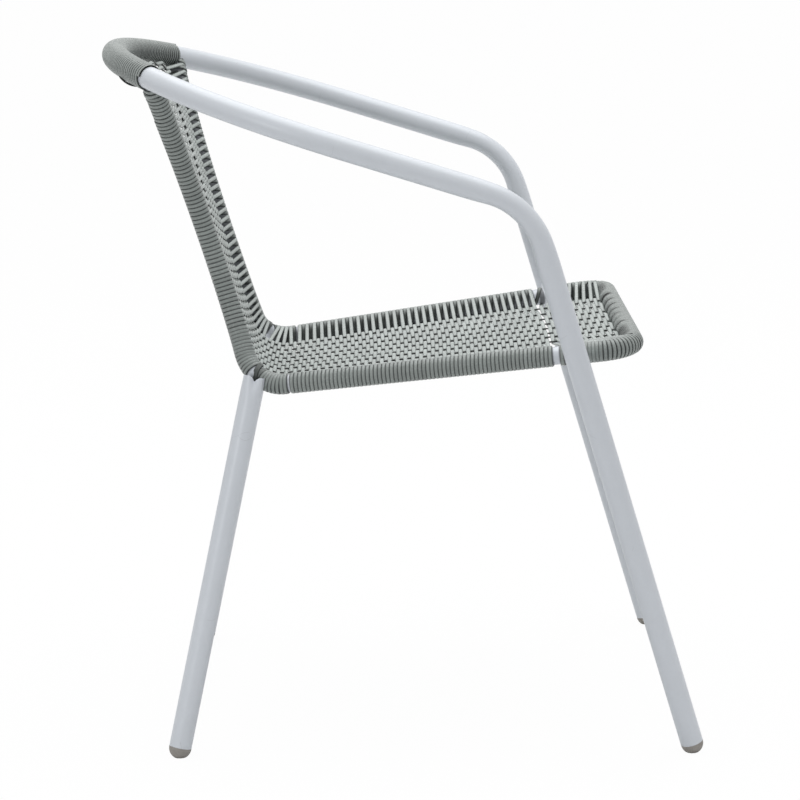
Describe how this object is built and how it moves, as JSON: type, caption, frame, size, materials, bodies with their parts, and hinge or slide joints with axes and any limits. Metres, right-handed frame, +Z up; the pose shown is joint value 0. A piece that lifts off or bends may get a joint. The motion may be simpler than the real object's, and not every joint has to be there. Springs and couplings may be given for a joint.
{
  "type": "rattan bistro chair",
  "caption": "Stacking bistro armchair: bent metal tube frame with a curved arm and back rail, straight splayed legs, and a strand-woven seat and waisted back.",
  "frame": {"origin": "on the floor, under the middle of the chair's overall box", "axes": "+X towards the front of the seat, +Y towards the sitter's left, +Z up"},
  "size_m": [0.6026, 0.532, 0.7186],
  "materials": {
    "tube_paint": "smooth silver-grey gloss paint",
    "strand": "extruded grey-green strand, satin",
    "foot_cap": "moulded warm grey plastic, matt"
  },
  "bodies": {
    "root": {"arm_and_front_leg_tube": "tube_paint", "seat_and_back_frame_tube": "tube_paint", "left_rear_leg_tube": "tube_paint", "right_rear_leg_tube": "tube_paint", "left_seat_link": "tube_paint", "right_seat_link": "tube_paint", "left_front_foot_cap": "foot_cap", "right_front_foot_cap": "foot_cap", "left_rear_foot_cap": "foot_cap", "right_rear_foot_cap": "foot_cap", "bow_winding": "strand", "left_upright_winding": "strand", "right_upright_winding": "strand", "left_short_rail_winding": "strand", "right_short_rail_winding": "strand", "left_seat_rail_winding": "strand", "right_seat_rail_winding": "strand", "front_rail_winding": "strand", "woven_seat_and_back": "strand"}
  },
  "joints": []
}
